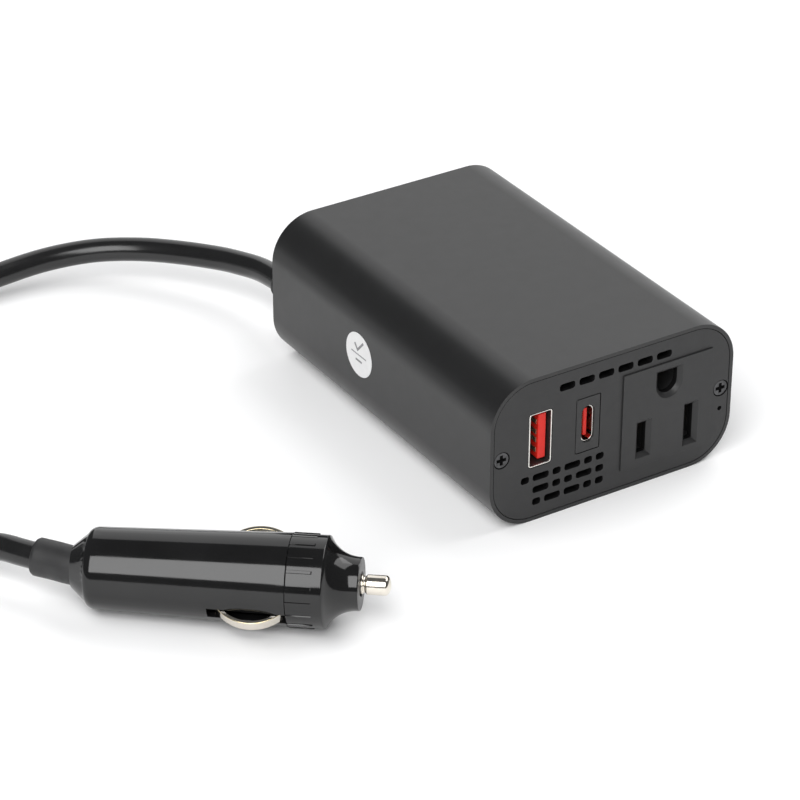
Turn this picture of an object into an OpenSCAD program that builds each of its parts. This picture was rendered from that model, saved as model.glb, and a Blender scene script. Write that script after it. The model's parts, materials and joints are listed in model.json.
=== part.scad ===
// Small car power inverter: an extruded sleeve closed by two plastic panels, with a
// three-pin mains outlet, two USB ports and a 12 V lead that ends in a lighter-socket plug.
// Millimetres. X is the width, Y the length with the socket panel at -Y, Z is up.
// The origin is under the middle of the sleeve, on the surface it stands on.

/* [Housing] */
// Outside width of the sleeve
body_w = 64; // [62:0.5:70]
// Outside height of the sleeve
body_h = 35.7; // [35.5:0.1:38]
// Length of the sleeve
body_l = 90.8; // [90:0.2:110]
// Outside radius of the sleeve's long edges
corner_r = 10.7; // [9:0.1:12]
// Wall of the extruded sleeve
wall = 0.9; // [0.8:0.05:1.1]
// Thickness of the front and rear panels
panel_t = 1.95; // [1.8:0.05:2.4]

/* [Outlet] */
// Middle of the outlet across the panel
outlet_x = 14.5; // [14.3:0.1:14.8]
// Height of the two blade slots' middle line
blade_z = 11.6; // [11.4:0.05:11.8]
// Distance between the two blade slots
blade_pitch = 12.7; // [12.6:0.05:12.8]
// Height of the ground hole above the blade line
ground_rise = 12.1; // [11.9:0.1:12.2]

/* [USB ports] */
// Middle of the USB-A port across the panel
usb_a_x = -19.08; // [-19.4:0.02:-18.8]
// Height of the USB-A port's middle
usb_a_z = 20.15; // [19.8:0.05:20.5]
// Middle of the USB-C port across the panel
usb_c_x = -6.74; // [-7:0.02:-6.4]
// Height of the USB-C port's middle
usb_c_z = 19.97; // [19.6:0.01:20.4]

/* [Fan] */
// Middle of the fan across the rear panel
fan_x = 4; // [3:0.5:5]
// Side of the square fan frame
fan_size = 30; // [28:1:30]
// Number of fan blades
fan_blades = 7; // [5:1:9]

/* [Lead and plug] */
// Diameter of the lead
cord_d = 5.8; // [5:0.1:6]
// Turn of the plug on the surface, from +X
plug_heading = -40.4; // [-42:0.1:-38]
// Rise of the plug's axis towards its tip
plug_pitch = 1.4; // [1.2:0.1:1.5]
// Roll of the two side contacts about the plug's axis
contact_roll = 24.4; // [20:0.1:28]
// Number of grip ribs round the nose cap
cap_ribs = 18; // [12:1:24]

/* [Hidden] */
$fn = 64;
fine = 0.05;                     // working gap between pieces that only rest on each other
mid_z = body_h / 2;
front_y = -body_l / 2;
rear_y = body_l / 2;
panel_gap = 0.15;                // dark line between the sleeve and a panel
panel_out = rear_y - fine;       // outer face of a panel, from the middle
panel_in = panel_out - panel_t;  // inner face of a panel, from the middle
inner_half = body_w / 2 - wall;
boss_x = 29;                     // screw bosses on the side walls
boss_z = 17.8;
boss_r = 2.6;
screw_r = 1.3;
board_top = 6.5;                 // component side of the main board
board_t = 1.6;
board_half = 28.2;
board_y = [-25, 31];
carrier_y = [-panel_in + fine, -27];
usb_board_y = [-30.6, -29.4];
gland_at = [-23.3, 12.7];        // x and z of the lead's way out of the rear panel
cord_r = cord_d / 2;

// The lead from the gland to the coil, then from the coil to the plug
lead_route = [
    [-23.3, 35.5, 12.7], [-23.3, 46, 12.7], [-23.3, 56, 12.6], [-23.9, 66, 11.7],
    [-28.2, 78, 10.3], [-34, 87, 9.4], [-41, 95, 8.6], [-50, 101.4, 7.8],
    [-61, 105, 6.8], [-73, 105.7, 5.8], [-85, 105.4, 4.8], [-98, 105, 4],
    [-112, 104.8, 3.6], [-126, 104.7, 3.5], [-136, 104.6, 3.5]];
tail_route = [
    [-164.5, 58.5, 6.4], [-161.4, 52.4, 7.8], [-156.7, 47.1, 8.8], [-150.6, 41.5, 9.4],
    [-145, 34.5, 9.6], [-140.4, 26.6, 8.8], [-137.1, 19.6, 6.7], [-134.6, 10.7, 5.1],
    [-132.7, 3.9, 5.7], [-130.9, -0.9, 7.1], [-128.1, -6.3, 8.6], [-126, -10.5, 9],
    [-124, -13.9, 9.1]];
relief_route = [
    [-124, -13.9, 9.1], [-121.55, -17.05, 9], [-118.95, -20.75, 8.9], [-116.5, -23, 8.83],
    [-113.4, -25.6, 8.93]];
coil_at = [-142, 67];
coil_r = [20.5, 40.6];           // inside and outside of the coil, its lanes side by side
coil_z = [0.6, 6.4];
tie_angle = 330;

// The plug's own frame: X along its axis towards the tip, 0 at the nose cap's shoulder
plug_at = [-78.4, -55.4, 10.05];
seam = -7.5;                     // where the nose cap meets the handle
handle_rear = -53.2;
handle_r = [8.6, 9.75];          // at the rear shoulder and at the seam
shell_bore = 8.15;               // room for the side contacts under the handle's wall
sleeve_r = 5.05;                 // fuse sleeve, outside
thread_r = 4.55;                 // thread between the fuse sleeve and the nose cap
cap_r = 9.65;
cap_face = 7;                    // front face of the nose cap
pin_r = 2.1;
fuse_r = 3;
fuse_x = [-33.1, -3.1];
contact_w = 2.5;
contact_t = 0.8;
contact_r = 11.9;                // highest point of a side contact from the plug's axis

// ---------- shapes used by several pieces ----------

// Flat rectangle with round corners, about the origin
module rrect(w, h, r) {
    square([w - 2 * r, h], center = true);
    square([w, h - 2 * r], center = true);
    for (sx = [-1, 1], sy = [-1, 1])
        translate([sx * (w / 2 - r), sy * (h / 2 - r)]) circle(r);
}

// Extrudes a profile drawn in X and Z between two places along Y
module along_y(y0, y1) {
    translate([0, y1, 0]) rotate([90, 0, 0]) linear_extrude(y1 - y0) children();
}

// Round bar or ring along Y at x and z
module bar_y(x, z, r, y0, y1, bore = 0) {
    along_y(y0, y1) translate([x, z]) difference() {
        circle(r);
        if (bore > 0) circle(bore);
    }
}

// Block from one corner to the other
module block(a, b) {
    translate(a) cube(b - a);
}

// Turned piece with its axis along Y
module turned_y(x, z) {
    translate([x, 0, z]) rotate([-90, 0, 0]) rotate_extrude() children();
}

// Sleeve's outline, shrunk by d all round
module outline(d) {
    translate([0, mid_z]) rrect(body_w - 2 * d, body_h - 2 * d, corner_r - d);
}

// Rectangular funnel with 45 degree sides: small end at y1, larger by the depth at y0
module funnel(x, z, w, h, y0, y1) {
    d = y1 - y0;
    translate([x, 0, z]) intersection() {
        translate([0, 0, -h]) linear_extrude(2 * h)
            polygon([[-w / 2 - d, y0], [w / 2 + d, y0], [w / 2, y1], [-w / 2, y1]]);
        rotate([90, 0, 90]) translate([0, 0, -w * 2]) linear_extrude(4 * w)
            polygon([[y0, -h / 2 - d], [y0, h / 2 + d], [y1, h / 2], [y1, -h / 2]]);
    }
}

// Cross-head screw along Y: head from y0 to y1, shank to y2
module panel_screw(x, z, head_r, shank_r, y0, y1, y2) {
    slot = 0.8;
    deep = 0.75;
    difference() {
        union() {
            bar_y(x, z, head_r, y0, y1);
            bar_y(x, z, shank_r, y1 - 0.1, y2);
        }
        for (a = [0, 90]) translate([x, y0, z]) rotate([0, a, 0])
            cube([slot, 2 * deep, head_r * 1.35], center = true);
    }
}

function unit(v) = v / norm(v);
function course(p, i) = unit(p[min(i + 1, len(p) - 1)] - p[max(i - 1, 0)]);
function ring_at(p, i, r, sides) =
    let (t = course(p, i), s = unit(cross(t, [0, 0, 1])), u = cross(s, t))
    [for (k = [0:sides - 1]) p[i] + r * (cos(k * 360 / sides) * s + sin(k * 360 / sides) * u)];

// Flexible round piece swept along a route
module sweep(p, r, sides) {
    n = len(p);
    polyhedron(
        points = [for (i = [0:n - 1]) each ring_at(p, i, r, sides)],
        faces = concat(
            [[for (k = [0:sides - 1]) k]],
            [for (i = [0:n - 2], k = [0:sides - 1])
                let (a = i * sides, b = a + sides, q = (k + 1) % sides)
                [a + q, a + k, b + k, b + q]],
            [[for (k = [sides - 1:-1:0]) (n - 1) * sides + k]]),
        convexity = 8);
}

// ---------- housing ----------

// Extrusion: thin wall, two screw bosses and a pair of guide ribs a side for the board
module housing_sleeve() {
    rib_in = 27.3;
    rib_t = 1.1;
    color("#2b2b2d") {
        difference() {
            union() {
                along_y(front_y, rear_y) difference() { outline(0); outline(wall); }
                along_y(-panel_in + fine, panel_in - fine) intersection() {
                    outline(wall / 2);
                    for (s = [-1, 1]) union() {
                        translate([s * boss_x, boss_z]) circle(boss_r);
                        translate([s * (boss_x + boss_r / 2), boss_z])
                            square([boss_r, 2 * boss_r - 1], center = true);
                        for (z = [board_top - board_t - 0.1 - rib_t / 2, board_top + 0.1 + rib_t / 2])
                            translate([s * (rib_in + 2), z]) square([4, rib_t], center = true);
                    }
                }
            }
            for (s = [-1, 1]) bar_y(s * boss_x, boss_z, screw_r + fine, front_y, rear_y);
        }
    }
}

// Profile of a panel with its two screw holes
module panel_profile() {
    difference() {
        outline(wall + panel_gap);
        for (s = [-1, 1]) translate([s * boss_x, boss_z]) circle(1.5);
    }
}

// Panel drawn with its outer face towards -Y
module panel_plate() {
    counterbore_r = 2.05;
    counterbore = 1.15;
    difference() {
        along_y(-panel_out, -panel_in) panel_profile();
        for (s = [-1, 1])
            bar_y(s * boss_x, boss_z, counterbore_r, -panel_out - 1, -panel_out + counterbore);
    }
}

vent_h = 1.65;                   // height of the lower vent slots
vent_gap = 1;                    // wall between two of them
vent_right = -2.2;               // where every lower row ends
vent_rows = ["SLSLSS", "LSSLS", "SLLSS"];
vent_top_row = 10.75;
vent_pitch = 3.05;
function vent_len(c) = c == "L" ? 4.15 : 2.1;
// Length of a row from its slot i to its end
function vent_rest(row, i) = i >= len(row) ? 0
    : vent_len(row[i]) + (i < len(row) - 1 ? vent_gap : 0) + vent_rest(row, i + 1);

// Six wide slots above the ports and three rows of long and short slots below them
module front_vents() {
    for (i = [0:5]) translate([0.28 + (i - 2.5) * 5.09, 31.1]) rrect(4, 1.75, 0.65);
    for (r = [0:len(vent_rows) - 1]) let (row = vent_rows[r])
        for (i = [0:len(row) - 1])
            translate([vent_right - vent_rest(row, i) + vent_len(row[i]) / 2,
                       vent_top_row - r * vent_pitch])
                rrect(vent_len(row[i]), vent_h, 0.6);
}

ground_r = 2.65;
ground_flat = 2.85;              // the ground hole's flat top above its middle
chamfer = 0.95;
pad_h = 0.35;                    // how far the outlet's face stands out of the panel
pad_face = -panel_out - pad_h;
pad_at = [14.25, 16.95];         // x and z of its middle
pad_size = [24, 24.2];
usb_a_shell_size = [5.9, 13.35];
usb_a_inside = [5.26, 12.71];
usb_a_gap = 0.1;                 // between the shell and the edge of its opening
usb_c_bezel_size = [6.1, 13.4];
usb_c_gap = 0.17;                // dark line round the bezel

// D-shaped ground hole with its chamfered mouth
module ground_hole() {
    z = blade_z + ground_rise;
    along_y(pad_face - 1, -panel_in + 1) translate([outlet_x, z]) {
        circle(ground_r);
        translate([-ground_r, 0]) square([2 * ground_r, ground_flat]);
    }
    translate([outlet_x, pad_face, z]) rotate([-90, 0, 0])
        cylinder(h = chamfer, r1 = ground_r + chamfer, r2 = ground_r);
    intersection() {
        funnel(outlet_x, z, 2 * ground_r, 2 * ground_flat, pad_face, pad_face + chamfer);
        block([outlet_x - 5, pad_face - 1, z], [outlet_x + 5, pad_face + 2, z + 5]);
    }
}

// Blade slot with its chamfered mouth
module blade_slot(x, w, h) {
    block([x - w / 2, pad_face - 1, blade_z - h / 2], [x + w / 2, -panel_in + 1, blade_z + h / 2]);
    funnel(x, blade_z, w, h, pad_face, pad_face + chamfer);
}

// Socket panel: raised outlet face, openings for both ports, vents and a lamp hole
module front_panel() {
    color("#232325") difference() {
        union() {
            panel_plate();
            along_y(pad_face, -panel_out + 0.1) translate(pad_at) rrect(pad_size[0], pad_size[1], 0.4);
        }
        along_y(-panel_out - 1, -panel_in + 1) {
            front_vents();
            translate([usb_a_x, usb_a_z])
                rrect(usb_a_shell_size[0] + 2 * usb_a_gap, usb_a_shell_size[1] + 2 * usb_a_gap, 0.8);
            translate([usb_c_x, usb_c_z])
                rrect(usb_c_bezel_size[0] + 2 * usb_c_gap, usb_c_bezel_size[1] + 2 * usb_c_gap, 0.45);
            translate([boss_x, 12.67]) circle(0.55);
        }
        ground_hole();
        blade_slot(outlet_x - blade_pitch / 2, 2.2, 7.4);
        blade_slot(outlet_x + blade_pitch / 2, 2.1, 8.9);
    }
}

// Rear panel: a round field of slots in front of the fan, and the gland's hole
module rear_panel() {
    field = 12.8;
    slot_l = 4;
    row_pitch = 3;
    fan_hole = fan_size / 2 - 3;
    color("#232325") difference() {
        mirror([0, 1, 0]) panel_plate();
        along_y(panel_in - 1, panel_out + 1) {
            for (row = [-4:4], i = [-3:3]) let (x = i * (slot_l + 1), z = row * row_pitch)
                if (norm([abs(x) + slot_l / 2, z]) < field + 1)
                    translate([fan_x + x, mid_z + z]) rrect(slot_l, 1.7, 0.6);
            translate(gland_at) circle(4.4);
            for (sx = [-1, 1], sz = [-1, 1])
                translate([fan_x + sx * fan_hole, mid_z + sz * fan_hole]) circle(1.4);
        }
        for (sx = [-1, 1], sz = [-1, 1])
            bar_y(fan_x + sx * fan_hole, mid_z + sz * fan_hole, 2.2, panel_out - 1, panel_out + 1);
    }
}

module front_screws() {
    color("#1c1c1e") for (s = [-1, 1])
        panel_screw(s * boss_x, boss_z, 1.8, screw_r, -panel_out + 0.15, -panel_out + 1.1, -36);
}

module rear_screws() {
    color("#1c1c1e") mirror([0, 1, 0]) for (s = [-1, 1])
        panel_screw(s * boss_x, boss_z, 1.8, screw_r, -panel_out + 0.15, -panel_out + 1.1, -36);
}

// Round paper label on the left wall
module inspection_sticker() {
    color("white") translate([-body_w / 2 - 0.1, 7.4, 19.05]) rotate([0, 90, 0])
        cylinder(h = 0.1, r = 5.35);
}

// Lamp behind a pinhole, with a thin light guide
module status_led() {
    color("#3d4a3f") {
        bar_y(boss_x, 12.67, 0.5, -panel_out + 1.1, -panel_in + 0.1);
        bar_y(boss_x, 12.67, 1.45, -panel_in + fine, -panel_in + 5);
    }
}

// ---------- USB ports ----------

// Pressed steel shell of the USB-A port, standing upright
module usb_a_shell() {
    y1 = usb_board_y[0] - fine;
    color("#c9c9cb") difference() {
        along_y(-panel_out + fine, y1) translate([usb_a_x, usb_a_z])
            rrect(usb_a_shell_size[0], usb_a_shell_size[1], 0.7);
        along_y(-panel_out - 1, y1 - 0.3) translate([usb_a_x, usb_a_z])
            rrect(usb_a_inside[0], usb_a_inside[1], 0.4);
    }
}

usb_a_tongue_x = [-0.03, 1.93];  // the tongue lies in the right half of the port

// Red insulator of the USB-A port: the tongue and the block it grows from
module usb_a_tongue() {
    color("#c01622") {
        block([usb_a_x + usb_a_tongue_x[0], -44.4, usb_a_z - 5.55],
              [usb_a_x + usb_a_tongue_x[1], -32.9, usb_a_z + 5.55]);
        along_y(-33, usb_board_y[0] - 0.4) translate([usb_a_x, usb_a_z]) rrect(5, 12.5, 0.3);
    }
}

// Four gold-plated strips on the tongue
module usb_a_contacts() {
    x = usb_a_x + usb_a_tongue_x[0];
    color("#d8b25a") for (z = [-3.5, -1, 1, 3.5])
        block([x - 0.22, -43.8, usb_a_z + z - 0.55], [x - 0.02, -33.05, usb_a_z + z + 0.55]);
}

// Plate round the USB-C port, set in its own opening
module usb_c_bezel() {
    color("#1e1e20") along_y(-panel_out, -panel_in) translate([usb_c_x, usb_c_z]) difference() {
        rrect(usb_c_bezel_size[0], usb_c_bezel_size[1], 0.3);
        rrect(3.3, 9.1, 1.6);
    }
}

module usb_c_shell() {
    y1 = usb_board_y[0] - fine;
    color("#c9c9cb") difference() {
        along_y(-44.95, y1) translate([usb_c_x, usb_c_z]) rrect(3.2, 9, 1.59);
        along_y(-46, y1 - 0.3) translate([usb_c_x, usb_c_z]) rrect(2.7, 8.5, 1.34);
    }
}

module usb_c_tongue() {
    color("#c01622") {
        along_y(-44.2, -34.9) translate([usb_c_x, usb_c_z]) rrect(0.9, 6.7, 0.2);
        along_y(-35, usb_board_y[0] - 0.4) translate([usb_c_x, usb_c_z]) rrect(2.6, 8.4, 1.29);
    }
}

// Twelve thin pads on each face of the USB-C tongue
module usb_c_contacts() {
    color("#d8b25a") for (s = [-1, 1], i = [-5.5:5.5])
        block([usb_c_x + s * 0.5 - 0.04, -43.9, usb_c_z + i * 0.5 - 0.12],
              [usb_c_x + s * 0.5 + 0.04, -35.1, usb_c_z + i * 0.5 + 0.12]);
}

// Upright board that carries both ports
module usb_board() {
    color("#1f5a36") along_y(usb_board_y[0], usb_board_y[1]) translate([-12.7, 20])
        difference() {
            square([26, 23], center = true);
            for (x = [-10.5, 10.5]) translate([x, 9]) circle(1);
        }
}

// Charger coil, controller and small capacitors behind the ports
module usb_board_parts() {
    y = usb_board_y[1] + fine;
    color("#2a2a2c") {
        along_y(y, y + 4) translate([-18, 25]) rrect(7, 7, 1);
        block([-9, y, 20], [-4, y + 1.4, 25]);
        for (x = [-24, -12, -2]) block([x - 0.8, y, 15], [x + 0.8, y + 1.2, 17.5]);
    }
}

header_x = [for (i = [-2.5:2.5]) -13 + i * 2.54];

// Six bent pins in a plastic strip that join the USB board to the main board
module board_header() {
    z = 10.5;
    color("#303030") difference() {
        block([-21.5, usb_board_y[1] + fine, z - 1.2], [-4.5, usb_board_y[1] + 2.5, z + 1.2]);
        for (x = header_x)
            block([x - 0.35, usb_board_y[1], z - 0.35], [x + 0.35, usb_board_y[1] + 3, z + 0.35]);
    }
    color("#c9b37a") for (x = header_x) {
        block([x - 0.32, usb_board_y[1] + fine, z - 0.32], [x + 0.32, -23.6, z + 0.32]);
        block([x - 0.32, -24.24, board_top + fine], [x + 0.32, -23.6, z + 0.32]);
    }
}

// ---------- mains outlet ----------

clip_front = -40;
clip_rear = -29;
barrel_front = -38.5;            // front of the ground contact's barrel
tail_y = -21.5;

// Plastic block behind the panel with a pocket for each contact
module outlet_carrier() {
    color("#2e2e30") difference() {
        along_y(carrier_y[0], carrier_y[1]) translate([outlet_x, 16.6]) rrect(21.6, 22.4, 1);
        for (s = [-1, 1]) let (x = outlet_x + s * blade_pitch / 2) {
            block([x - 2, -44, blade_z - 4.7], [x + 2, clip_rear + 0.3, blade_z + 4.7]);
            block([x - 0.5, -30, blade_z - 1.2], [x + 0.5, -26, blade_z + 1.2]);
        }
        bar_y(outlet_x, blade_z + ground_rise, 3.2, -44, clip_rear + 0.3);
        block([outlet_x - 0.5, -30, blade_z + ground_rise - 1.2],
              [outlet_x + 0.5, -26, blade_z + ground_rise + 1.2]);
    }
}

// Tail of a contact: back through the carrier, then down to the main board
module contact_tail(x, z) {
    block([x - 0.3, clip_rear - 0.6, z - 1], [x + 0.3, tail_y, z + 1]);
    block([x - 0.3, tail_y - 1.8, board_top + fine], [x + 0.3, tail_y, z + 1]);
}

// Spring clip for a flat blade: two leaves that close towards the front
module blade_clip(x) {
    translate([x, 0, blade_z - 3.25]) linear_extrude(6.5)
        polygon([[-1.6, clip_rear], [-1.6, -35.2], [-1.15, -37.8], [-1.7, clip_front],
                 [-1.2, clip_front], [-0.6, -37.8], [-1.1, -35.2], [-1.1, clip_rear - 0.5],
                 [1.1, clip_rear - 0.5], [1.1, -35.2], [0.6, -37.8], [1.2, clip_front],
                 [1.7, clip_front], [1.15, -37.8], [1.6, -35.2], [1.6, clip_rear]]);
    contact_tail(x, blade_z);
}

module line_contact() {
    color("#c8a04a") blade_clip(outlet_x - blade_pitch / 2);
}

module neutral_contact() {
    color("#c8a04a") blade_clip(outlet_x + blade_pitch / 2);
}

// Split barrel for the round ground pin
module ground_contact() {
    z = blade_z + ground_rise;
    color("#c8a04a") {
        difference() {
            bar_y(outlet_x, z, 2.9, barrel_front, clip_rear - 0.6);
            bar_y(outlet_x, z, 2.35, barrel_front - 1, clip_rear - 1.1);
            block([outlet_x - 0.4, barrel_front - 1, z], [outlet_x + 0.4, clip_rear - 1.1, z + 4]);
        }
        contact_tail(outlet_x, z);
    }
}

// ---------- power electronics ----------

module main_board() {
    color("#1f5a36") translate([0, 0, board_top - board_t]) difference() {
        block([-board_half, board_y[0], 0], [board_half, board_y[1], board_t]);
        for (p = [[-25, -21], [24, 28]]) translate([p[0], p[1], -1]) cylinder(h = 4, r = 1.6);
    }
}

module insulating_sheet() {
    color("#d8d2b8") translate([0, 3, wall + 0.15]) linear_extrude(0.3) rrect(41, 56, 2);
}

trafo = [-3, 4];                 // middle of the transformer
leg = 6;                         // side of its middle leg along X
core_y = 12;

// Ferrite frame with a middle leg
module transformer_core() {
    color("#4a4a4e") translate([trafo[0], trafo[1], 0]) difference() {
        block([-12, -core_y / 2, 8], [12, core_y / 2, 27]);
        for (s = [-1, 1]) translate([s * (leg / 2 + 2.75), 0, 17.5])
            cube([5.5, core_y + 2, 12], center = true);
    }
}

// Taped winding on the middle leg
module transformer_winding() {
    color("#d9a520") translate([trafo[0], trafo[1], 12.6]) linear_extrude(9.8) difference() {
        rrect(16.2, 21.6, 3);
        square([leg + 1.4, core_y + 1.4], center = true);
    }
}

// Bobbin: a base under the core, two feet, and a tube with two cheeks on the middle leg
module transformer_bobbin() {
    color("#26262a") translate([trafo[0], trafo[1], 0]) {
        block([-10, -11, board_top + fine], [10, 11, 7.95]);
        for (s = [-1, 1]) translate([0, s * 8.6, 0])
            block([-8, -2.4, 7.9], [8, 2.4, 11.8]);
        translate([0, 0, 11.7]) linear_extrude(11.6) difference() {
            square([leg + 1.2, core_y + 1.2], center = true);
            square([leg + 0.2, core_y + 0.2], center = true);
        }
        for (z = [11.7, 22.5]) translate([0, 0, z]) linear_extrude(0.8) difference() {
            square([leg + 10.4, core_y + 10], center = true);
            square([leg + 0.2, core_y + 0.2], center = true);
        }
    }
}

choke = [-18.5, -13.5];

module choke_core() {
    color("#7b8f4b") translate([choke[0], choke[1], 10]) rotate_extrude()
        translate([5, 0]) square([3, 4.6], center = true);
}

// Copper turns over most of the ring, left open where its ends come out
module choke_winding() {
    color("#b8642c") translate([choke[0], choke[1], 10]) rotate([0, 0, 30])
        rotate_extrude(angle = 300) translate([5, 0]) difference() {
            rrect(4.8, 6.6, 1.4);
            square([3.1, 4.7], center = true);
        }
}

// Electrolytic can with the rolled groove near its foot
module can(x, y, r, h) {
    translate([x, y, board_top + fine]) rotate_extrude()
        polygon([[0, 0], [r, 0], [r, 2.2], [r - 0.5, 2.7], [r, 3.2], [r, h - 0.6],
                 [r - 0.6, h], [0, h]]);
}

module input_capacitors() {
    color("#26304a") for (y = [2.5, 14]) can(-20.5, y, 5, 20);
}

module output_capacitor() {
    color("#26304a") can(-3, -15.5, 6.25, 20);
}

sink_x = [16, 18.5];             // faces of the heat sink's back plate
sink_y = [-19.5, 26];
transistor_y = [-14, -2, 10, 22];
tab_hole_z = 22.8;

// Finned extrusion on the board; air from the fan runs along the fins
module heat_sink() {
    color("#b9bcc0") difference() {
        union() {
            block([sink_x[0], sink_y[0], board_top + fine], [sink_x[1], sink_y[1], 31]);
            for (z = [8.2, 11.4, 14.6, 17.8, 21, 24.2, 27.4])
                block([sink_x[1] - 0.1, sink_y[0], z], [25.7, sink_y[1], z + 1.2]);
        }
        for (y = transistor_y) translate([sink_x[0] - 1, y, tab_hole_z]) rotate([0, 90, 0])
            cylinder(h = 5, r = 1.45);
    }
}

// Four power transistors with their tabs against the heat sink
module power_transistors() {
    tab_x = sink_x[0] - 0.25;
    for (y = transistor_y) {
        color("#222224") block([tab_x - 4.3, y - 5, 10], [tab_x - 1.2, y + 5, 19.2]);
        color("#c4c6c8") difference() {
            block([tab_x - 1.3, y - 5, 10], [tab_x, y + 5, 25.6]);
            translate([tab_x - 2, y, tab_hole_z]) rotate([0, 90, 0]) cylinder(h = 3, r = 1.8);
        }
        color("#c4c6c8") for (i = [-1, 0, 1])
            block([tab_x - 3, y + i * 2.54 - 0.4, board_top + fine],
                  [tab_x - 2.5, y + i * 2.54 + 0.4, 10.1]);
    }
}

module transistor_pads() {
    color("#9aa3ad") for (y = transistor_y) difference() {
        block([sink_x[0] - 0.22, y - 5.5, 9.6], [sink_x[0] - 0.03, y + 5.5, 26]);
        translate([sink_x[0] - 1, y, tab_hole_z]) rotate([0, 90, 0]) cylinder(h = 2, r = 1.8);
    }
}

module transistor_screws() {
    head_x = sink_x[0] - 1.6;
    color("#b0b2b5") for (y = transistor_y) translate([0, y, tab_hole_z]) rotate([0, 90, 0]) {
        translate([0, 0, head_x - 2]) cylinder(h = 2, r = 2.7);
        translate([0, 0, head_x - 0.1]) cylinder(h = 4, r = 1.4);
    }
}

// Soldered blade fuse on the 12 V side
module board_fuse() {
    color("#c7402e") {
        block([-1.5, 21.2, 12.5], [9.5, 24.8, 20]);
        block([0, 21.8, 9.5], [8, 24.2, 12.6]);
    }
    color("#c4c6c8") for (x = [0.4, 5.2])
        block([x, 22.7, board_top + fine], [x + 2.4, 23.3, 12.6]);
}

module control_chips() {
    color("#1d1d1f") {
        block([-13, 18.5, board_top + 0.2], [-5, 24.5, board_top + 1.9]);
        block([-14, 26, board_top + 0.2], [-9, 29.8, board_top + 1.6]);
        block([-4, -24, board_top + 0.2], [4, -22.3, board_top + 1.6]);
    }
}

// Quarter bend from the lead's end down to the board
module input_wire(x) {
    bend = gland_at[1] - board_top - fine;
    translate([x, 35.4, board_top + fine]) rotate([0, -90, 0]) rotate([0, 0, 270])
        rotate_extrude(angle = 90) translate([bend, 0]) circle(0.85, $fn = 32);
}

module red_wire() { color("#b3201f") input_wire(gland_at[0] - 1.1); }
module black_wire() { color("#1a1a1a") input_wire(gland_at[0] + 1.1); }

// ---------- fan ----------

fan_y = [panel_in - 10.05, panel_in - 0.05];
fan_hole_at = fan_size / 2 - 3;
shaft_r = 1;

// Square frame, three arms and the bearing tube
module fan_frame() {
    color("#1b1b1d") {
        difference() {
            along_y(fan_y[0], fan_y[1]) translate([fan_x, mid_z]) rrect(fan_size, fan_size, 2.5);
            bar_y(fan_x, mid_z, fan_size / 2 - 1, fan_y[0] - 1, fan_y[1] + 1);
            for (sx = [-1, 1], sz = [-1, 1])
                bar_y(fan_x + sx * fan_hole_at, mid_z + sz * fan_hole_at, 1.25,
                      fan_y[0] - 1, fan_y[1] + 1);
        }
        difference() {
            union() {
                bar_y(fan_x, mid_z, 7, fan_y[0], fan_y[0] + 1.4);
                bar_y(fan_x, mid_z, 1.8, fan_y[0], fan_y[0] + 7);
                for (a = [90, 210, 330]) translate([fan_x, 0, mid_z]) rotate([0, a, 0])
                    block([6, fan_y[0], -1], [14.5, fan_y[0] + 1.4, 1]);
            }
            bar_y(fan_x, mid_z, shaft_r + fine, fan_y[0] + 1, fan_y[0] + 8);
        }
    }
}

// Coil stack on the bearing tube
module fan_stator() {
    color("#a8622f") difference() {
        bar_y(fan_x, mid_z, 5.1, fan_y[0] + 1.6, fan_y[0] + 6.6, 1.85);
        for (a = [0:90:270]) translate([fan_x, 0, mid_z]) rotate([0, a + 45, 0])
            block([3.4, fan_y[0] + 1, -0.8], [6, fan_y[0] + 8, 0.8]);
    }
}

// Cup with its shaft and slanted blades
module fan_rotor() {
    hub_r = 6.8;
    tip_r = 13.3;
    y0 = fan_y[0] + 2.2;
    y1 = fan_y[1] - 0.8;
    color("#141416") {
        difference() {
            bar_y(fan_x, mid_z, hub_r, y0, y1);
            bar_y(fan_x, mid_z, hub_r - 1, y0 - 1, y1 - 1);
        }
        bar_y(fan_x, mid_z, shaft_r, fan_y[0] + 1.4, y1 - 0.5);
        for (i = [0:fan_blades - 1]) translate([fan_x, (y0 + y1) / 2, mid_z]) intersection() {
            rotate([0, i * 360 / fan_blades, 0]) rotate([38, 0, 0])
                block([hub_r - 0.4, -4.6, -0.4], [tip_r + 1, 4.6, 0.4]);
            translate([0, (y1 - y0) / 2 - 0.3, 0]) rotate([90, 0, 0])
                cylinder(h = y1 - y0 - 0.6, r = tip_r);
        }
    }
}

module fan_screws() {
    color("#1c1c1e") mirror([0, 1, 0]) for (sx = [-1, 1], sz = [-1, 1])
        panel_screw(fan_x + sx * fan_hole_at, mid_z + sz * fan_hole_at, 2.05, 1.2,
                    -panel_out + 0.1, -panel_out + 0.95, -38);
}

// ---------- lead ----------

// Bush in the rear panel: collar and tail inside, a tapered nose with grooves outside
module cord_gland() {
    nose_end = 55.4;
    groove = 0.45;
    color("#161618") turned_y(gland_at[0], gland_at[1]) polygon(concat(
        [[cord_r, 35.4], [3.6, 35.4], [3.9, panel_in - 1.9], [4.9, panel_in - 1.8],
         [4.9, panel_in - fine], [4.35, panel_in - fine], [4.35, panel_out + fine]],
        [for (i = [0:3]) let (y = 46.6 + i * 2.2, r = 4.7 - (y - 45.4) * 0.1)
            each [[r, y - 0.6], [r, y], [r - groove, y + 0.3], [r - groove, y + 1],
                  [r - 0.15, y + 1.3]]],
        [[3.75, nose_end - 0.4], [3.5, nose_end], [cord_r, nose_end]]));
}

module cord_lead() { color("#131315") sweep(lead_route, cord_r, 12); }
module cord_tail() { color("#131315") sweep(tail_route, cord_r, 12); }

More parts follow.
